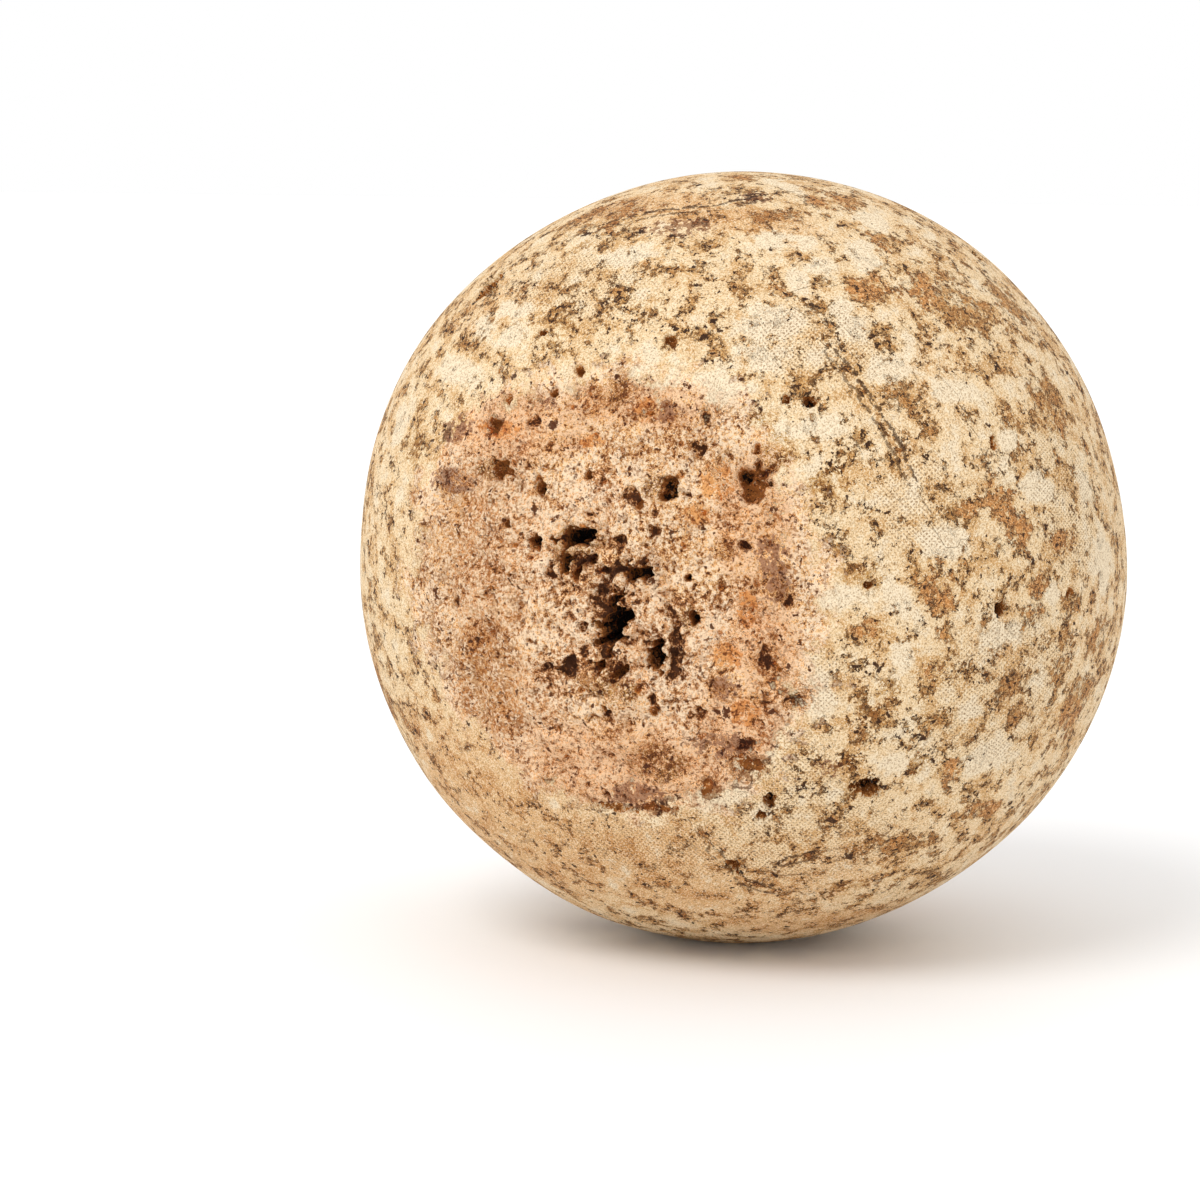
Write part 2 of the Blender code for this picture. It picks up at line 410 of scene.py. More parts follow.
print("the front face is", round(2 * FACES[0].radius * max(OUTLINE)), "mm across")

# %% [markdown]
# A carving measures the way from its centre in half sizes, so one formula serves round holes, long
# ones and hollows. Between its floor and its rim the wall rises, steep in a hole and gentle in a
# hollow. A ragged noise added to the distance breaks the rim.


# %% Hollows and holes
def away_from(point, cut, raggedness):
    """How far a point is from a carving's centre, as a share of the carving's half size."""
    offset = point - cut.centre
    across = offset.dot(cut.right) / cut.half_wide
    along = offset.dot(cut.up) / cut.half_tall
    return math.hypot(across, along) + raggedness


def carved_depth(point, cuts, floor, rim, raggedness):
    """How deep the carvings near a point go into it."""
    depth = 0.0
    for cut in cuts:
        away = away_from(point, cut, raggedness)
        depth = max(depth, cut.deep * (1 - smooth_step(floor, rim, away)))
    return depth


print("a hole's wall rises over", round(PIT_RIM - PIT_FLOOR, 1), "of its half size")

# %% [markdown]
# Between the crumbs bits are missing, as in broken cheese. A threshold on noise gives that: a
# plateau stays, and irregular bits of one depth are gone from it. There are more of them near the
# middle, where the mites bit most. Three further noises shift the place that is asked about, so
# the outlines curl.

# %% Bites between the crumbs
CRUMB_HEIGHT = 0.25 * MM
CRUMB_LENGTH = 1.3 * MM
SWIRL_REACH = 1.1 * MM
SWIRL_LENGTH = 2.4 * MM
SWIRL_STARTS = [Vector((12.4, 51.9, 7.6)), Vector((31.7, 8.2, 52.3)), Vector((68.1, 23.5, 11.8))]
MIDDLE_CENTRE = loaf_point(direction(-3, -2))
BITTEN_SHARE = 0.33
BITTEN_NEAR = 6 * MM
BITTEN_FAR = 36 * MM
Bite = namedtuple("Bite", "length deep rare soft")
BITES = [
    Bite(5.5 * MM, 1.7 * MM, 0.55, 0.08),
    Bite(2.4 * MM, 0.8 * MM, 0.5, 0.10),
]


def swirl(point):
    """A small shift in an uneven direction."""
    return SWIRL_REACH * Vector([noise.noise(point / SWIRL_LENGTH + start) for start in SWIRL_STARTS])


def bitten_depth(point):
    """How deep the bites between the crumbs go."""
    away = (point - MIDDLE_CENTRE).length
    bitten = BITTEN_SHARE * (1 - smooth_step(BITTEN_NEAR, BITTEN_FAR, away))
    swirled = point + swirl(point)
    depth = 0.0
    for bite in BITES:
        value = noise.noise(swirled / bite.length) + bitten
        depth += bite.deep * smooth_step(bite.rare, bite.rare + bite.soft, value)
    return depth - CRUMB_HEIGHT * noise.noise(point / CRUMB_LENGTH)


print("the bites go up to", round(sum(bite.deep for bite in BITES) / MM, 1), "mm deep")

# %% [markdown]
# Now the parts come together. Low lumps run all over the ball. The eaten faces lie a little deeper
# than the skin and are craggy, with their highest crags cut off flat. Hollows, holes and bites go
# down from there. Near the resting spot it all fades out, so the ball stands on a flat.

# %% The height at a point
LUMP_HEIGHT = 1.1 * MM
LUMP_LENGTH = 42 * MM
LUMP_START = Vector((156.4, 80.7, 41.3))
FACE_EDGE = 2.5 * MM
FACE_SUNK = 0.5 * MM
CRAG_HEIGHT = 2.4 * MM
CRAG_LENGTH = 9 * MM
CRAG_CEILING = 0.2
CRAG_OCTAVES = 2
PIT_RAGGED_LENGTH = 3.2 * MM
PIT_OCTAVE_FALL = 0.3
PIT_OCTAVES = 3
BOWL_FLOOR = 0.0
HOLLOW_RIM = 1.35
CRUMB_RIM = 1.25


def relief(point):
    """The height over the loaf, and the hole, bite and way inside the face that made it."""
    torn = noise.fractal(point / PIT_RAGGED_LENGTH, PIT_OCTAVE_FALL, OCTAVE_RATIO, PIT_OCTAVES)
    ragged = PIT_RAGGEDNESS * torn
    inside = max(inside_face(point, cut) for cut in FACE_CUTS)
    eaten = smooth_step(0.0, FACE_EDGE, inside)
    height = LUMP_HEIGHT * noise.noise(point / LUMP_LENGTH + LUMP_START)
    crags = noise.fractal(point / CRAG_LENGTH, OCTAVE_FALL, OCTAVE_RATIO, CRAG_OCTAVES)
    height += eaten * (CRAG_HEIGHT * min(crags, CRAG_CEILING) - FACE_SUNK)
    height -= carved_depth(point, hollow_cuts, BOWL_FLOOR, HOLLOW_RIM, ragged)
    bite = eaten * bitten_depth(point) if eaten else 0.0
    hole = carved_depth(point, near_big.around(point), PIT_FLOOR, PIT_RIM, ragged)
    crumbs = carved_depth(point, near_crumbs.around(point), BOWL_FLOOR, CRUMB_RIM, ragged / 2)
    hole = max(hole, crumbs)
    away = (point - Vector((0, 0, -RADIUS))).length
    rest = smooth_step(REST_SPOT_RADIUS, REST_SPOT_RADIUS + REST_SPOT_BLEND, away)
    return (height - max(hole, bite)) * rest, hole, bite, inside


deepest = loaf_point(direction(*FRONT_PITS[0][:2]))
print("at the deepest hole the surface lies", round(-1000 * relief(deepest)[0], 1), "mm in")

# %% [markdown]
# ## Marks on the crust
#
# Colour on the rind comes in patches a few millimetres to a few centimetres wide. Each kind of
# mark is a list of places with a width and a height in millimetres, and the lists hold what the
# photograph shows. A mark is stored in the mesh as a soft number, and the shader gives it its
# ragged outline. Bloom is pale, dry mould, and worn patches are where the crust is gone.


# %% Bloom and worn patches
def counts(marks):
    """How many places each kind of mark has."""
    return {kind: len(places) for kind, places in marks.items()}


MARKS = {}
MARKS["bloom"] = [
    (28, 59, 8, 7), (36, 58, 6, 6), (48, 75, 8, 11), (62, 62, 8, 7), (51, 54, 7, 10), (33, 50, 6, 6),
    (42, 41, 6, 6), (41, 45, 4, 4), (39, 52, 7, 6), (46, 34, 9, 8), (25, 43, 13, 10), (23, 38, 13, 7),
    (16, 33, 16, 6), (27, 26, 5, 4), (1, 38, 7, 6), (-10, 56, 17, 6), (33, 26, 8, 5), (68, 15, 8, 7),
    (80, 14, 8, 8), (52, 8, 17, 7), (45, -8, 7, 7), (35, 1, 7, 5), (61, -6, 11, 9), (70, 0, 5, 5),
    (57, -17, 5, 4), (-42, 33, 15, 7), (-53, 23, 9, 10), (-33, 44, 13, 5), (-42, 40, 9, 6),
    (14, -34, 12, 5), (20, -31, 6, 6), (-30, 40, 9, 5), (19, -29, 8, 6), (47, -25, 8, 5),
    (32, -15, 8, 11), (84, 3, 10, 12), (66, 22, 8, 5), (57, 30, 10, 5), (62, -25, 11, 7),
    (44, 0, 6, 7),
]
MARKS["worn"] = [
    (31, 64, 13, 8), (59, 69, 13, 10), (32, 80, 14, 6), (-30, 65, 20, 13), (48, 48, 11, 8),
    (28, 49, 4, 3), (63, 46, 18, 12), (69, 42, 16, 9), (48, 30, 8, 10), (78, 27, 12, 14),
    (67, 24, 5, 8), (61, 14, 8, 11), (64, 10, 8, 8), (74, 7, 14, 4), (55, 13, 5, 4), (60, 57, 7, 8),
    (86, 43, 12, 14), (50, 1, 8, 8), (51, -5, 5, 4), (39, -4, 6, 4), (67, -2, 7, 13), (73, -10, 8, 12),
    (74, -2, 6, 5), (84, -8, 8, 9), (63, -13, 6, 5), (66, -17, 5, 5), (49, -10, 6, 4), (56, -27, 4, 8),
    (66, -34, 15, 5), (55, -40, 10, 4), (48, -40, 11, 5), (82, -18, 12, 16),
]
print(counts(MARKS))

# %% [markdown]
# Ochre marks are fresh bites. Smears are the orange paste just under the surface, and smudges a
# thin grey-violet mould. Most of them lie on the eaten face or near it.

# %% Bites, smears and smudges
MARKS["ochre"] = [
    (39, 4, 9, 5), (43, -13, 5, 4), (40, -16, 5, 6), (50, -25, 6, 4), (45, -49, 9, 4), (-27, 57, 6, 4),
    (-19, 43, 7, 4), (-20, 39, 5, 3), (-46, 20, 6, 8), (-4, 33, 8, 6), (5, -28, 13, 9), (17, 8, 5, 4),
    (24, 28, 6, 4), (26, 23, 7, 8), (-9, 8, 12, 9), (-26, 19, 9, 5), (6, 18, 6, 6), (-4, -14, 9, 7),
    (12, -3, 5, 5), (38, -25, 4, 3), (39, -30, 4, 3), (60, 0, 3, 5), (-1, -16, 10, 5), (34, 18, 8, 6),
]
MARKS["smear"] = [
    (16, 19, 7, 8), (13, 14, 6, 5), (21, -1, 4, 8), (3, 30, 5, 5), (-26, 25, 12, 4), (-7, 25, 6, 3),
    (18, -9, 6, 6), (21, -18, 6, 6),
]
MARKS["smudge"] = [
    (-17, 30, 4, 3), (-35, 16, 12, 5), (23, 19, 3, 3), (25, 7, 6, 9), (26, 2, 5, 6), (6, 30, 8, 4),
    (0, 62, 16, 6), (26, 70, 7, 5), (-36, 24, 9, 5), (17, -14, 6, 5), (1, -34, 14, 5), (35, -26, 6, 4),
    (17, -24, 12, 6),
]
print(counts(MARKS))

# %% [markdown]
# Other marks change a whole zone. Speckled ones open more gaps in the crust, tanned ones are
# browner and bare of bloom, flushes deepen the pink of a face, and in cloth ones the weave shows.

# %% Speckled, tanned, flushed and cloth zones
MARKS["speckled"] = [
    (32, 48, 4, 3), (35, 47, 5, 3), (38, 45, 5, 4), (39, 42, 3, 6), (39, 40, 3, 4), (39, 55, 5, 3),
    (45, 54, 5, 4), (45, 50, 4, 4), (31, 38, 6, 6), (45, 10, 3, 5), (46, 38, 6, 5), (54, 12, 4, 3),
    (-11, 62, 17, 4), (-27, 61, 13, 4), (9, 59, 3, 4), (16, 55, 5, 4), (22, 29, 6, 2), (40, -16, 8, 9),
    (31, -30, 7, 5), (27, -33, 6, 7), (25, -21, 4, 3), (-6, 48, 8, 9), (-9, 44, 8, 6), (5, 47, 6, 8),
    (13, 43, 7, 6), (16, 38, 6, 4), (19, 31, 8, 3), (30, 33, 5, 4), (35, 22, 8, 8), (40, 25, 9, 8),
    (39, -9, 7, 5), (45, -20, 12, 6), (33, -24, 4, 4), (53, -24, 8, 8), (42, -42, 11, 4),
    (20, -46, 8, 5), (26, -51, 10, 3), (34, -44, 8, 3), (-13, 47, 7, 5), (-22, 46, 6, 5),
    (-32, 30, 6, 8),
]
MARKS["tanned"] = [
    (-5, -50, 90, 34), (-40, -34, 50, 50), (38, -62, 44, 14), (-12, 68, 46, 12), (14, 65, 40, 10),
    (-26, 6, 24, 50), (-26, -16, 24, 30),
]
MARKS["flush"] = [
    (22, 12, 16, 28), (24, -6, 14, 28), (20, -20, 18, 20), (-24, 26, 40, 14), (0, 31, 34, 10),
    (-2, -29, 46, 20), (8, -30, 20, 14),
]
MARKS["cloth"] = [
    (24, -29, 30, 24), (30, -40, 40, 22), (4, -44, 40, 16), (30, -12, 16, 14), (62, -14, 30, 30),
    (34, 40, 30, 16), (48, 14, 16, 20), (75, 12, 20, 30), (-20, 50, 30, 16),
]
print(counts(MARKS))

# %% [markdown]
# The last kinds are details of a few places: the lip of skin at the lower right of the face, which
# gets a painted highlight and shadow, the patches beside it that have shed theirs, and slits and
# pits that get painted shade from their rim on.

# %% The lip, shed patches and pits with painted shade
MARKS["lip"] = [(6, -37, 34, 12), (18, -29, 18, 10), (25, -22, 12, 14)]
MARKS["shed"] = [(22, -27, 9, 6), (14.5, -31.5, 5, 4.5), (4.5, -36, 10, 3.5)]
# Slits and pits that get painted shade from their rim on
MARKS["slit_shade"] = [
    (-50.7, 44, 3, 3.4), (-49.7, 46.1, 4.4, 4), (-48.5, 48.4, 3, 3.4), (18.5, -45.5, 2.6, 2),
    (20.5, -47, 2, 1.6), (60, -2, 2.6, 3), (74, -0.5, 2, 1.8), (42, -29, 4, 3),
]
print(counts(MARKS))

# %% [markdown]
# The hidden sides get the same kinds of marks. Places are drawn at random over the sphere, and
# kept only where the lists above have none, which is everywhere that the camera doesn't see. The
# kinds that belong to an eaten face are drawn round the middle of the back one.

# %% Marks by rule for the hidden sides
SEEN_ANGLE = 84
RULE_SEED = 31
BACK_MARK_SPREAD = 25
MARK_SLENDERNESS = (0.4, 1.0)
# How many of each kind, and the least and the largest size in millimetres
SIDE_RULES = {
    "bloom": (90, 5, 15), "worn": (70, 5, 17), "ochre": (26, 4, 11), "speckled": (80, 4, 11),
    "tanned": (9, 25, 70), "cloth": (14, 16, 36),
}
FACE_RULES = {
    "ochre": (22, 4, 11), "smear": (12, 4, 10), "smudge": (16, 4, 14), "flush": (5, 16, 36),
    "shed": (5, 4, 9),
}


def random_direction(rng):
    """A direction drawn evenly from the sphere."""
    height = math.asin(rng.uniform(-1, 1))
    return direction(rng.uniform(-180, 180), math.degrees(height))


def marks_by_rule():
    """More marks of each kind, away from what the camera sees."""
    rng = random.Random(RULE_SEED)
    edge = math.cos(math.radians(SEEN_ANGLE))
    found = {kind: [] for kind in MARKS}
    for kind, (count, *sizes) in SIDE_RULES.items():
        while len(found[kind]) < count:
            way = random_direction(rng)
            bearing = math.degrees(math.atan2(way.x, -way.y))
            height = math.degrees(math.asin(way.z))
            wide = rng.uniform(*sizes)
            tall = rng.uniform(*sizes)
            if way.dot(towards_camera) < edge:
                found[kind].append((bearing, height, wide, tall))
    for kind, (count, *sizes) in FACE_RULES.items():
        for _ in range(count):
            place = place_on(FACES[1], BACK_MARK_SPREAD, rng)
            wide = rng.uniform(*sizes)
            found[kind].append((*place, wide, wide * rng.uniform(*MARK_SLENDERNESS)))
    return found


hidden_marks = marks_by_rule()
print(counts(hidden_marks))

# %% [markdown]
# A mark's place and size make it a carving like a hole's, so the same finder and the same distance
# serve for it. Its share fades from its core to its edge.

# %% How strongly a mark covers a point
MARK_CORE = 0.45
MARK_EDGE = 1.8
MARK_DEPTH = 1
near_marks = {}
for kind, places in MARKS.items():
    cuts = [carving(Pit(*place, MARK_DEPTH, 0)) for place in places + hidden_marks[kind]]
    near_marks[kind] = Nearby(cuts, widest(cuts) * MARK_EDGE)


def mark_share(point, kind):
    """1 in the middle of a mark of this kind and 0 away from it."""
    share = 0.0
    for cut in near_marks[kind].around(point):
        share = max(share, 1 - smooth_step(MARK_CORE, MARK_EDGE, away_from(point, cut, 0.0)))
    return share


print({kind: len(near_marks[kind].cuts) for kind in MARKS})

# %% [markdown]
# ## The mesh
#
# An icosphere has near-equal triangles and no poles, so relief looks the same all over. It is
# pushed out to the loaf. The eaten faces need finer points than the firm skin, and holes finer
# still, so edges that are too long for their place are halved, pass by pass.

# %% Finer where it is needed
BASE_SUBDIVISIONS = 7
FACE_MESH = 1.3 * MM
MIDDLE_MESH = 0.75 * MM
MIDDLE_RADIUS = 30 * MM
PIT_MESH = 0.75 * MM
PIT_MESH_MARGIN = 1.0 * MM
REFINING_PASSES = 2


def wanted_edge(point):
    """The longest edge that still shows the relief at this point."""
    if (point - MIDDLE_CENTRE).length < MIDDLE_RADIUS:
        return MIDDLE_MESH
    for cut in near_big.around(point):
        if (point - cut.centre).length < max(cut.half_wide, cut.half_tall) + PIT_MESH_MARGIN:
            return PIT_MESH
    if any((point - cut.centre).length < cut.half_wide for cut in FACE_CUTS):
        return FACE_MESH
    return RADIUS


def refine(bm):
    long_edges = []
    for edge in bm.edges:
        middle = (edge.verts[0].co + edge.verts[1].co) / 2
        if edge.calc_length() > wanted_edge(middle):
            long_edges.append(edge)
    bmesh.ops.subdivide_edges(bm, edges=long_edges, cuts=1)
    bmesh.ops.triangulate(bm, faces=[face for face in bm.faces if len(face.verts) > 3])
    for vert in bm.verts:
        vert.co = loaf_point(vert.co)


bm = bmesh.new()
bmesh.ops.create_icosphere(bm, subdivisions=BASE_SUBDIVISIONS, radius=1.0)
for vert in bm.verts:
    vert.co = loaf_point(vert.co)
for _ in range(REFINING_PASSES):
    refine(bm)
print(len(bm.verts), "points")

# %% [markdown]
# Two more things follow the surface, and are worked out point by point. A crease is a line through
# places, and the shader needs the distance to it. The pressing cloth was draped over the ball from
# each face's middle, so its threads run across and along from there.

# %% Creases and the cloth
FAR_CREASE = 20
CREASES = [
    [(37.6, 37.7), (39.8, 34.6), (41.8, 31.0), (44.1, 26.8), (45.7, 22.8), (47.2, 18.5)],
    [(-31, 61), (-22.8, 63.8), (-13, 66), (-2, 67), (7.4, 67.3), (18.5, 69), (33, 71.2)],
    [(15.9, -43), (18.1, -44.7), (20, -46.5), (22, -48.9), (28.7, -50.2)],
    [(29, -43.6), (31.6, -42.4), (34.1, -41.9)],
]
crease_points = [[loaf_point(direction(*place)) for place in crease] for crease in CREASES]


def crease_side(point):
    """The distance to the nearest crease in mm, above 0 on one side of it and below on the other."""
    nearest = FAR_CREASE
    for corners in crease_points:
        for first, second in zip(corners, corners[1:]):
            along = second - first
            share = min(1.0, max(0.0, (point - first).dot(along) / along.length_squared))
            offset = point - first - along * share
            side = math.copysign(offset.length / MM, offset.dot(along.cross(point)))
            if abs(side) < abs(nearest):
                nearest = side
    return nearest


def cloth_place(point):
    """How far across and along the pressing cloth a point lies, in mm."""
    around = math.hypot(point.x, point.z) or 1.0
    draped = RADIUS / MM * math.atan2(around, abs(point.y))
    return point.x / around * draped, point.z / around * draped


print(len(crease_points), "creases")

# %% [markdown]
# Every point now moves along the loaf's normal by its relief. What the shader asks for goes with
# the point as a list of numbers for each name: the depths in mm, the marks, and two slow noises
# that vary the tone and clump the crumbs. No point goes below the floor.

# %% Displace and carry
TONE_LENGTH = 26 * MM
CLUMP_LENGTH = 8 * MM


def carried_at(point, hole, bite, inside):
    """The numbers that a point carries, by name."""
    across, along = cloth_place(point)
    numbers = {
        "hole": hole / MM, "bite": bite / MM, "inside": inside / MM,
        "tone": noise.noise(point / TONE_LENGTH), "clump": noise.noise(point / CLUMP_LENGTH),
        "crease": crease_side(point), "cloth_across": across, "cloth_along": along,
    }
    return numbers | {kind: mark_share(point, kind) for kind in MARKS}


carried = {}
for vert in bm.verts:
    point = vert.co.copy()
    height, hole, bite, inside = relief(point)
    for name, number in carried_at(point, hole, bite, inside).items():
        carried.setdefault(name, []).append(number)
    vert.co = point + loaf_normal(point) * height
    vert.co.z = max(vert.co.z, -CENTRE_HEIGHT)
print("carried:", sorted(carried))

# %% [markdown]
# The ball is centred on the solid's box and shrunk where it is larger, by less than a thousandth,
# because a finish must never make a part larger. Its object stays at the origin, unturned.


# %% The cheese as an object
def settle(bm):
    """Stands the ball on the origin, inside the solid's box."""
    sides = []
    for axis in range(3):
        places = [vert.co[axis] for vert in bm.verts]
        sides.append((min(places), max(places)))
    middle = Vector([(low + high) / 2 for low, high in sides])
    sizes = Vector([high - low for low, high in sides])
    room = high_corner - low_corner
    shrink = Vector([min(1.0, room[axis] / sizes[axis]) for axis in range(3)])
    for vert in bm.verts:
        offset = vert.co - middle
        vert.co = Vector([offset[axis] * shrink[axis] for axis in range(3)])
        vert.co += (low_corner + high_corner) / 2
        vert.co.z -= (room.z - sizes.z * shrink.z) / 2
    return shrink


shrink = settle(bm)
print(len(bm.faces), "triangles, scaled by", [round(share, 4) for share in shrink])
mesh = bpy.data.meshes.new("cheese")
bm.to_mesh(mesh)
bm.free()
mesh.shade_smooth()
for name, values in carried.items():
    attribute = mesh.attributes.new(name, "FLOAT", "POINT")
    attribute.data.foreach_set("value", values)
cheese = bpy.data.objects.new("cheese", mesh)
bpy.context.scene.collection.objects.link(cheese)

# %% [markdown]
# ## Writing a material as sums
#
# The crust is made of masks that are added, scaled and thresholded. Wiring each Math node by hand
# would bury the idea, so one small class wraps a socket and lets Python's own operators add the
# nodes. Everything else comes from one method, `node`, which takes a node's type, its settings
# and the values of its sockets.


# %% A socket that can be added and multiplied
class Field:
    """A value, colour or vector on its way through a material's nodes."""

    def __init__(self, tree, socket):
        self.tree = tree
        self.socket = socket

    def node(self, kind, settings=None, inputs=None, output=0):
        """Adds a node, gives it its settings and then its sockets, and returns one output."""
        node = self.tree.nodes.new(kind)
        for name, value in (settings or {}).items():
            setattr(node, name, value)
        for key, value in (inputs or {}).items():
            socket = node.inputs[key]
            if isinstance(value, Field):
                self.tree.links.new(value.socket, socket)
            else:
                socket.default_value = value
        return Field(self.tree, node.outputs[output])

    def math(self, operation, first, second):
        return self.node("ShaderNodeMath", {"operation": operation}, {0: first, 1: second})

    def __add__(self, other):
        return self.math("ADD", self, other)

    __radd__ = __add__

    def __sub__(self, other):
        return self.math("SUBTRACT", self, other)

    def __rsub__(self, other):
        return self.math("SUBTRACT", other, self)

    def __mul__(self, other):
        return self.math("MULTIPLY", self, other)

    __rmul__ = __mul__

    def wave(self):
        return self.math("SINE", self, 0.0)

    def absolute(self):
        return self.math("ABSOLUTE", self, 0.0)

    def step(self, low, high):
        """0 below low, 1 above high and smooth between. With low above high it falls instead."""
        settings = {"interpolation_type": "SMOOTHSTEP", "clamp": True}
        if low > high:
            return 1 - self.step(high, low)
        inputs = {"Value": self, "From Min": low, "From Max": high}
        return self.node("ShaderNodeMapRange", settings, inputs)

    def mixed(self, other, share):
        """This colour turned into another one by share."""
        inputs = {0: share, 6: self, 7: other}
        return self.node("ShaderNodeMix", {"data_type": "RGBA"}, inputs, output=2)

    def stained(self, other, share):
        """This colour seen through another one, which keeps its grain."""
        settings = {"data_type": "RGBA", "blend_type": "MULTIPLY"}
        return self.node("ShaderNodeMix", settings, {0: share, 6: self, 7: other}, output=2)


def light(value):
    """A 0 to 255 screen value as the linear light that shaders use, by the sRGB formula."""
    share = value / 255
    return ((share + 0.055) / 1.055) ** 2.4 if value > 10 else share / 12.92


def paint(red, green, blue):
    """A colour from its screen values."""
    return (light(red), light(green), light(blue), 1.0)


print("cream is", [round(part, 2) for part in paint(231, 200, 155)])

# %% [markdown]
# ## Noise at real sizes
#
# A noise texture's scale is in turns per metre, which says little. `grain` takes the size of a
# speck in millimetres instead, and its value swings evenly about 0. `stored` reads a number
# that the mesh carries. A chain of colours starts with `plain`, and every later coat is mixed
# over it or seen through it.

# %% Helpers for the rind
rind = bpy.data.materials.new("mimolette_rind")
rind.use_nodes = True
rind_tree = rind.node_tree
rind_shader = rind_tree.nodes["Principled BSDF"]
start = Field(rind_tree, None)
place = start.node("ShaderNodeTexCoord", output="Object")


def grain(size, detail, roughness):
    """Noise about 0, with specks this many millimetres wide."""
    inputs = {"Vector": place, "Scale": 1000 / size, "Detail": detail, "Roughness": roughness}
    return start.node("ShaderNodeTexNoise", None, inputs, "Fac") - 0.5


def stored(name):
    """A number that the mesh carries."""
    return start.node("ShaderNodeAttribute", {"attribute_name": name}, None, "Fac")


def plain(tint):
    """One colour all over, which starts a chain of coats."""
    inputs = {0: 0.0, 6: tint, 7: tint}
    return start.node("ShaderNodeMix", {"data_type": "RGBA"}, inputs, output=2)


def show_nodes(part):
    """Prints how many nodes the rind has so far."""
    print(part, "done:", len(rind_tree.nodes), "nodes")


show_nodes("helpers")

# %% [markdown]
# A few noises draw everything on the rind, and sharing them keeps the render quick. The dust is
# finer than a pixel of the photograph. Specks and crumbs are a millimetre or two. The ragged
# noise has many octaves, so its outlines are torn at every size. Patches and cavities are rounder,
# because they have fewer octaves.

# %% The noises and the stored numbers
dust = grain(0.42, detail=1.0, roughness=0.7)
granule = grain(0.8, detail=1.5, roughness=0.6)
pock = grain(1.3, detail=2.0, roughness=0.6)
speck = grain(1.5, detail=2.0, roughness=0.7)
crumb = grain(1.5, detail=3.0, roughness=0.8)
cavity = grain(2.6, detail=3.0, roughness=0.6)
crack = grain(3.4, detail=5.0, roughness=0.66)
ragged = grain(5.0, detail=5.0, roughness=0.76)
patch = grain(8.0, detail=3.0, roughness=0.6)
worn = stored("worn")
bloom = stored("bloom")
tanned = stored("tanned")
speckled = stored("speckled")
tone = stored("tone")
clump = stored("clump")


def marked(kind, grit):
    """A kind of mark, with a ragged and speckled edge."""
    return stored(kind) * (1 + grit * (ragged + speck))


show_nodes("noises")

# %% [markdown]
# ## Gaps in the crust
#
# The crust is a cream skin in ragged islands, with gaps between them where it has cracked or worn
# through. One sum says how far into a gap a place is. The ragged noise gives the outlines, a
# Voronoi pattern adds cracks round plates of a centimetre, worn and speckled marks open the crust
# and bloom closes it. Four thresholds then read the sum and its noises: the fill of a gap, a
# painted shadow along its rim, thin dark strokes and deep spots. Pits are round and need no gap.

# %% Plates and gaps
PLATE_WIDTH = 11.0
PLATE_WARP = 0.12
GAP_LEVEL = 0.032
GAP_EDGE = (0.045, 0.08)
RIM_PLACE = 0.055
RIM_WIDTH = (0.02, 0.008)
STROKE_WIDTH = (0.018, 0.009)
DEEP_EDGE = (0.15, 0.18)
PIT_EDGE = (0.17, 0.19)

warp_inputs = {0: place, "Scale": 1 + PLATE_WARP * ragged}
warp = start.node("ShaderNodeVectorMath", {"operation": "SCALE"}, warp_inputs)
plates = start.node(
    "ShaderNodeTexVoronoi",
    {"feature": "DISTANCE_TO_EDGE"},
    {"Vector": warp, "Scale": 1000 / PLATE_WIDTH},
    "Distance",
)
seam = (plates * PLATE_WIDTH).step(1.0, 0.0)
gap = ragged + 0.3 * patch - GAP_LEVEL + 0.05 * seam + 0.055 * speckled + 0.115 * worn
gap = gap - 0.08 * bloom - 0.03 * tanned
fill_share = (gap + 0.4 * speck).step(*GAP_EDGE)
# Painted shadow in a thin band inside each crust island's rim, where its edge would cast one
rim_shadow_share = (gap - RIM_PLACE).absolute().step(*RIM_WIDTH) * speck.step(-0.05, -0.01)
stroke_share = crack.absolute().step(*STROKE_WIDTH) * gap.step(-0.04, 0.0)
stroke_share = stroke_share * (speck + 0.5 * gap).step(-0.05, 0.0)
deep_share = (0.8 * gap + pock - 0.1 * worn).step(*DEEP_EDGE)
pit_share = (cavity + 0.3 * ragged + 0.06 * speckled - 0.05 * worn - 0.04 * bloom).step(*PIT_EDGE)
show_nodes("gaps")

# %% [markdown]
# The whole crust is cream, tan low down and in zones where it is bare of bloom, and nearly white
# where the bloom is thick. Dust lightens and darkens it speck by speck, so no part of it is flat.

# %% Cream, tan and bloom
CREAM = paint(231, 200, 155)
TAN_CREAM = paint(219, 175, 122)
TAN_TINT = paint(234, 215, 187)
BLOOM_WHITE = paint(235, 214, 181)
DARK_DUST = paint(140, 98, 50)
PALE_DUST = paint(255, 240, 212)
DARK_DUST_EDGE = (0.03, 0.14)
PALE_DUST_EDGE = (-0.03, -0.14)

tanned_share = (tanned + 3 * ragged + 0.7 * tone).step(0.0, 1.0)
tan_share = (5 * patch + 3 * ragged + 0.4 * seam + 0.5 * worn - 0.5 * bloom).step(-0.05, 0.5)
pale_share = (bloom - 4 * patch - 3 * ragged - 0.3 * tanned - 0.5 * worn).step(0.2, 0.85)
crust = plain(CREAM).mixed(TAN_CREAM, tanned_share)
crust = crust.stained(TAN_TINT, tan_share)
crust = crust.mixed(BLOOM_WHITE, pale_share)
crust = crust.mixed(DARK_DUST, 0.5 * dust.step(*DARK_DUST_EDGE))
crust = crust.mixed(PALE_DUST, 0.5 * dust.step(*PALE_DUST_EDGE))
show_nodes("cream")
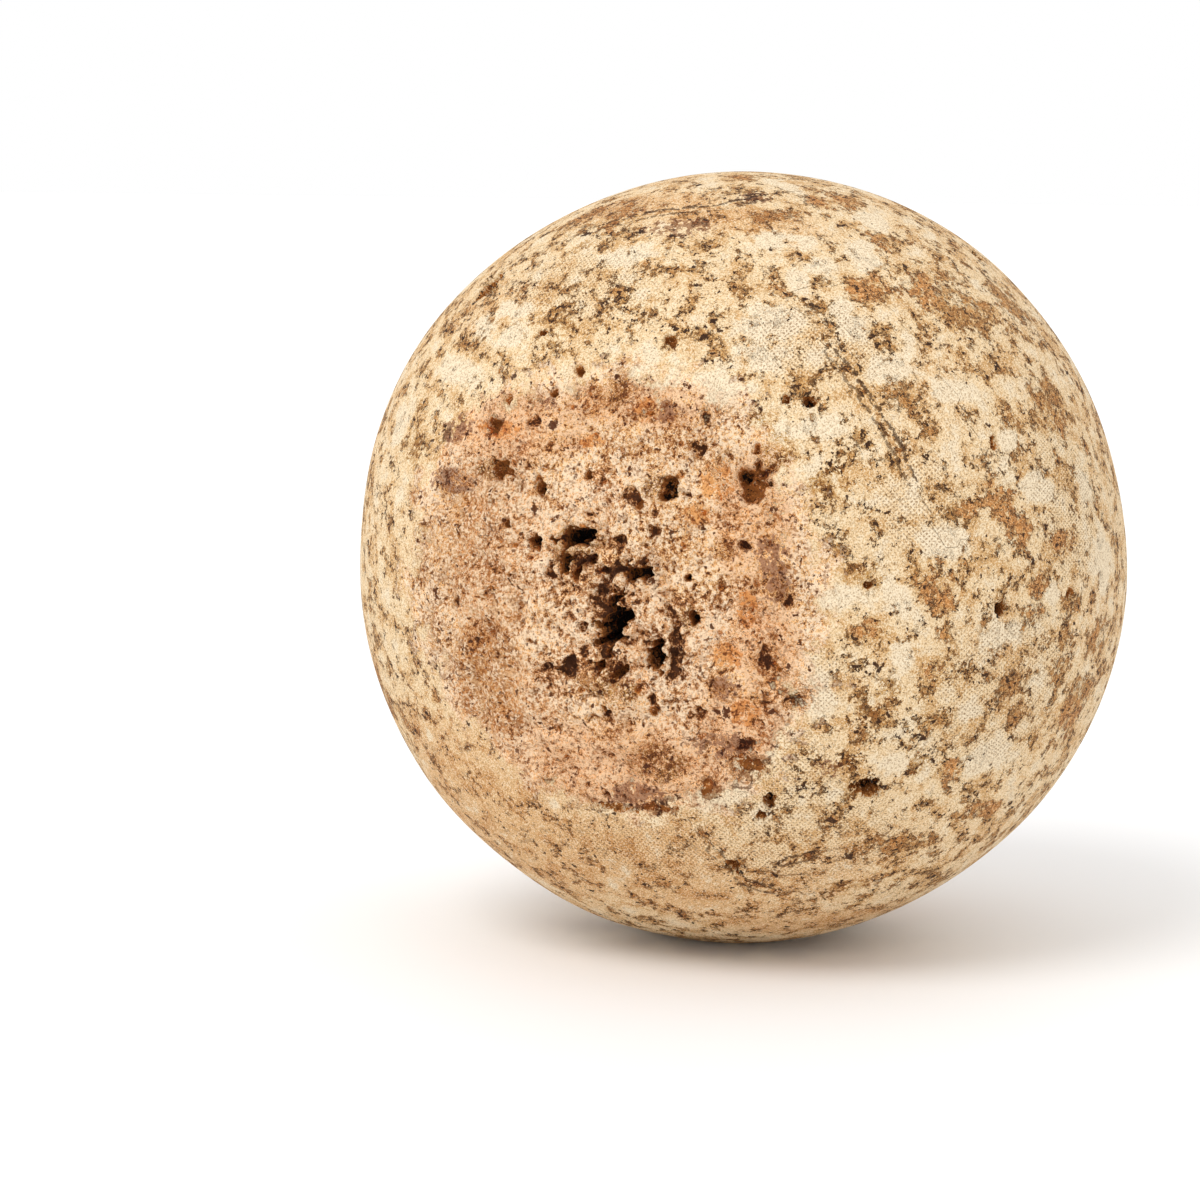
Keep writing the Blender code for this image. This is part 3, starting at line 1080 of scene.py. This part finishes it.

# %% [markdown]
# A gap shows the layer under the skin. It is tan in a crack, and reddish or golden where the crust
# has worn away over a wider patch. Brown grit lies in it. The painted shadow along rims, where the
# crust's edge would cast one, and the strokes, deep spots and pits are the darkest.

# %% Dirt and painted shadow in the gaps
GAP_TINT = paint(236, 220, 190)
WORN_RED_TINT = paint(246, 216, 184)
WORN_GOLD_TINT = paint(234, 214, 184)
GRIT_BROWN = paint(124, 78, 42)
# The colour of the painted shadow along the rims
RIM_SHADOW_BROWN = paint(72, 42, 12)
STROKE_BROWN = paint(58, 30, 6)
DEEP_BROWN = paint(54, 28, 8)
PIT_BROWN = paint(60, 32, 8)

worn_share = (worn + 3 * ragged).step(0.2, 0.6)
worn_tint = plain(WORN_RED_TINT).mixed(WORN_GOLD_TINT, (tone + ragged).step(-0.05, 0.15))
crust = crust.stained(plain(GAP_TINT).mixed(worn_tint, worn_share), fill_share)
crust = crust.mixed(GRIT_BROWN, 0.5 * fill_share * (crumb + 0.3 * dust).step(0.02, 0.05))
# Painted shadow along the rims of the crust's islands
crust = crust.mixed(RIM_SHADOW_BROWN, 0.72 * rim_shadow_share)
crust = crust.mixed(STROKE_BROWN, 0.92 * stroke_share)
crust = crust.mixed(DEEP_BROWN, 0.95 * deep_share)
crust = crust.mixed(PIT_BROWN, 0.95 * pit_share)
show_nodes("crust")

# %% [markdown]
# ## Cloth and creases
#
# The ball was pressed in a cloth, and where the crust is whole its weave is still there, as dots
# about a millimetre apart. Two waves that cross make such dots. A crease is a fold of the crust:
# the stored distance to it turns into two thin lines of painted shade, where the fold dips, with a
# browner strip between them, and noise makes them wander.

# %% Cloth print and creases
WEAVE_PITCH = 1.5
WEAVE_TURN = 2 * math.pi / WEAVE_PITCH
WEAVE_BROWN = paint(128, 84, 40)
CREASE_WIDTH = 2.4
CREASE_TINT = paint(220, 192, 152)
# Painted shade along the two grooves of a crease
CREASE_SHADE = paint(84, 54, 26)

across = stored("cloth_across") * WEAVE_TURN + 3 * ragged
along = stored("cloth_along") * WEAVE_TURN + 3 * ragged
dots = across.wave() * along.wave()
weave_share = (dots + 1.5 * dust).step(0.4, 0.75) * (stored("cloth") - 3 * ragged).step(0.1, 0.7)
crust = crust.mixed(WEAVE_BROWN, 0.5 * weave_share)

crease = stored("crease") + 6 * ragged
first_line = crease.absolute().step(0.6, 0.25)
second_line = (crease - CREASE_WIDTH).absolute().step(0.5, 0.2)
# The two lines of painted shade along a crease
crease_shade_share = (first_line + 0.8 * second_line) * (speck + ragged).step(-0.12, -0.04)
strip_share = crease.step(0.0, 0.5) * crease.step(2.8, 2.2) * (ragged + speck).step(-0.02, 0.06)
crust = crust.stained(CREASE_TINT, 0.8 * strip_share)
# Paints the shade in the crease's grooves
crust = crust.mixed(CREASE_SHADE, 0.85 * crease_shade_share)
show_nodes("cloth")

# %% [markdown]
# ## The eaten faces
#
# Here the skin is gone, and what shows is crumbled cheese, dusty pink and tan. The tops of its
# crumbs are painted paler, as light falls on them, its granules and dust are darker, and it has
# small round cavities. The border is the stored distance to the face's edge with a lot of noise
# added, so islands of crust stand inside it.

# %% Crumbled flesh
PINK = paint(255, 198, 140)
TAN_PINK = paint(254, 200, 136)
# Painted light on the crumb tops
LIT_CRUMB_TOP = paint(255, 222, 184)
BROWN_DUST = paint(140, 78, 24)
FLESH_DUST = paint(255, 232, 200)
SHADE_TINT = paint(217, 194, 168)
GRANULE_BROWN = paint(124, 64, 16)
PALE_GRANULE = paint(255, 230, 198)

inside = stored("inside") + 10 * ragged
border = inside + 12 * ragged + 16 * speck
face_share = (border + 22 * patch + 4 * clump).step(-3.5, 2.5)
bitten = stored("bite") - 9 * crumb - 2 * ragged - 0.9 * clump
flesh = plain(PINK).mixed(TAN_PINK, tone.step(-0.15, 0.2))
# Painted light: paler where the crumbs stand highest, away from the bites
flesh = flesh.mixed(LIT_CRUMB_TOP, bitten.step(0.15, -0.3))
flesh = flesh.mixed(BROWN_DUST, 0.45 * dust.step(*DARK_DUST_EDGE))
flesh = flesh.mixed(FLESH_DUST, 0.5 * dust.step(*PALE_DUST_EDGE))
flesh = flesh.stained(SHADE_TINT, tanned_share)
flesh = flesh.mixed(GRANULE_BROWN, 0.45 * (granule + 0.8 * ragged).step(0.085, 0.11))
flesh = flesh.mixed(PALE_GRANULE, 0.6 * (granule - 0.5 * ragged).step(-0.045, -0.08))
show_nodes("flesh")

# %% [markdown]
# The stored depth of the bites is largest between the crumbs, so it darkens the colour as painted
# shade just where the real relief dips: ochre first, which is partly the cheese's own ochre, then
# brown, then nearly black. Thin lines of painted shade outline the crumbs.

# %% Between the crumbs
# The painted shade in the thin lines between the crumbs
CRUMB_SHADE_LINE = paint(126, 70, 26)
POCK_BROWN = paint(104, 56, 20)
CAVITY_BROWN = paint(88, 44, 12)
# Painted shade by bite depth; the ochre is partly the cheese's own colour
BITE_OCHRE_AND_SHADE = paint(186, 116, 56)
BITE_SHADE_BROWN = paint(116, 62, 22)
BITE_SHADE_BLACK = paint(64, 32, 10)

# Thin lines of painted shade between the crumbs
flesh = flesh.mixed(CRUMB_SHADE_LINE, 0.8 * crumb.absolute().step(0.02, 0.01) * bitten.step(-0.1, 0.2))
flesh = flesh.mixed(POCK_BROWN, 0.85 * (pock + 0.5 * ragged).step(0.13, 0.16))
flesh = flesh.mixed(CAVITY_BROWN, 0.95 * (cavity + 0.3 * ragged).step(0.14, 0.16))
# Painted shade by the depth of the bites: ochre, then brown, then nearly black
flesh = flesh.mixed(BITE_OCHRE_AND_SHADE, 0.75 * bitten.step(0.62, 0.8))
flesh = flesh.mixed(BITE_SHADE_BROWN, 0.9 * bitten.step(0.95, 1.1))
flesh = flesh.mixed(BITE_SHADE_BLACK, 0.9 * bitten.step(1.5, 1.8))
show_nodes("bites")

# %% [markdown]
# Wide flushes deepen the pink, and orange smears are the paste itself, just under the surface.
# At the lower right the skin ends in a raised lip, with a painted highlight on it and a painted
# shadow line along its step. Outside the lip a few patches have shed their skin, and a dark brown
# ring surrounds them.

# %% Flushes, smears, the lip and shed patches
FLUSH_TINT = paint(246, 230, 216)
SMEAR_TINT = paint(236, 194, 144)
# Painted highlight on the raised lip, and painted shadow along its step
LIP_HIGHLIGHT = paint(248, 226, 190)
LIP_SHADOW_LINE = paint(96, 60, 30)
SHED_TINT = paint(192, 172, 150)
SHED_RIM = paint(84, 52, 28)
SHED_RIM_PLACE = 0.48

flesh = flesh.stained(FLUSH_TINT, marked("flush", grit=4).step(0.1, 0.9))
flesh = flesh.stained(SMEAR_TINT, marked("smear", grit=10).step(0.4, 0.9))
lip = stored("lip")
# Painted highlight on the raised lip of skin
crust = crust.mixed(LIP_HIGHLIGHT, lip * inside.step(-3.2, -2.4) * dust.step(0.1, -0.1))
body = crust.mixed(flesh, face_share)
# Painted shadow line just inside the lip's step
lip_shadow_share = lip * inside.step(-0.8, 0.0) * inside.step(1.6, 0.8) * (speck + clump).step(-0.05, 0.03)
body = body.mixed(LIP_SHADOW_LINE, 0.8 * lip_shadow_share)
shed = marked("shed", grit=10)
shed_rim = (shed - SHED_RIM_PLACE).absolute().step(0.07, 0.03) * speck.step(-0.05, 0.0)
body = body.stained(SHED_TINT, shed.step(0.46, 0.52))
body = body.mixed(SHED_RIM, 0.75 * shed_rim)
show_nodes("face")

# %% [markdown]
# ## Bites, smudges and holes
#
# Ochre bites are golden where the crumbs are, with their own dark grit. Smudges are a thin
# grey-violet mould over either surface. The slits that get painted shade right from their rim have a
# mark of their own. Every other hole is coloured by its depth: brown from 1.3 mm down, partly the
# brown of its walls and partly painted shade, and painted shade, nearly black, from 4.3 mm, because
# hardly any light comes back out of a deep hole in dry, porous cheese.

# %% The last coats
OCHRE_TINT = paint(192, 156, 88)
OCHRE_GRIT = paint(84, 42, 8)
SMUDGE_TINT = paint(187, 167, 158)
# Painted shade for slits and pits
SLIT_SHADE_BLACK = paint(40, 22, 10)
HOLE_TINT = paint(226, 180, 126)
# Brown of the hole walls, partly painted shade
HOLE_BROWN_AND_SHADE = paint(142, 84, 32)
# Painted shade in the depths of the holes
HOLE_SHADE_BLACK = paint(32, 17, 8)
HOLE_TINT_DEPTH = (0.5, 0.8)
HOLE_BROWN_AND_SHADE_DEPTH = (1.3, 1.7)
HOLE_SHADE_DEPTH = (4.3, 5.0)

ochre_share = 0.9 * marked("ochre", grit=9).step(0.32, 0.5)
body = body.stained(OCHRE_TINT, ochre_share * (crumb + dust).step(0.1, 0.02))
body = body.mixed(OCHRE_GRIT, 0.95 * ochre_share * crumb.step(-0.02, -0.05))
body = body.stained(SMUDGE_TINT, marked("smudge", grit=8).step(0.3, 0.7))
# Painted shade in slits and pits, from their rim on
body = body.mixed(SLIT_SHADE_BLACK, marked("slit_shade", grit=5).step(0.35, 0.6))
depth = stored("hole") * (1 + 5 * speck + 2 * dust)
body = body.stained(HOLE_TINT, depth.step(*HOLE_TINT_DEPTH))
# Brown walls and painted shade from 1.3 mm deep
body = body.mixed(HOLE_BROWN_AND_SHADE, 0.9 * depth.step(*HOLE_BROWN_AND_SHADE_DEPTH))
# Painted shade, nearly black, from 4.3 mm deep
body = body.mixed(HOLE_SHADE_BLACK, depth.step(*HOLE_SHADE_DEPTH))
show_nodes("colour")

# %% [markdown]
# ## Grain to the touch
#
# The mesh holds every lump, crag and hole. What is finer than its points is a bump: specks, gaps,
# weave and creases in the crust, and crumbs on the faces. A bump reads its height three times over
# for the slope, so it uses shorter sums than the colour does. The rind is dry and nearly matt.
# Bloom and crumbs are the dustiest parts of it.

# %% Bump and roughness
CRUST_ROUGHNESS = 0.84
BLOOM_ROUGHER = 0.1
FACE_ROUGHER = 0.06
RIND_SPECULAR = 0.3

bare_share = (ragged + 0.4 * speck + 0.115 * worn).step(0.077, 0.112)
crust_height = 0.5 * speck - 0.3 * dust - 0.3 * bare_share - 0.1 * weave_share - 0.3 * crease_shade_share
crumb_height = 1.5 * crumb - 0.25 * dust
crumbled_share = border.step(-3.5, 2.5)
height = crust_height * (1 - crumbled_share) + crumb_height * crumbled_share
bump_inputs = {"Strength": 1.0, "Distance": MM, "Height": height}
bump = start.node("ShaderNodeBump", None, bump_inputs, "Normal")
roughness = CRUST_ROUGHNESS + BLOOM_ROUGHER * pale_share + FACE_ROUGHER * face_share

rind_tree.links.new(body.socket, rind_shader.inputs["Base Color"])
rind_tree.links.new(bump.socket, rind_shader.inputs["Normal"])
rind_tree.links.new(roughness.socket, rind_shader.inputs["Roughness"])
rind_shader.inputs["Specular IOR Level"].default_value = RIND_SPECULAR
mesh.materials.append(rind)
show_nodes("rind")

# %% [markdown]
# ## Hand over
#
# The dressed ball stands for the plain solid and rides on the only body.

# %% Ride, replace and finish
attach(cheese, "root")
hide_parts(CHEESE_NODE)
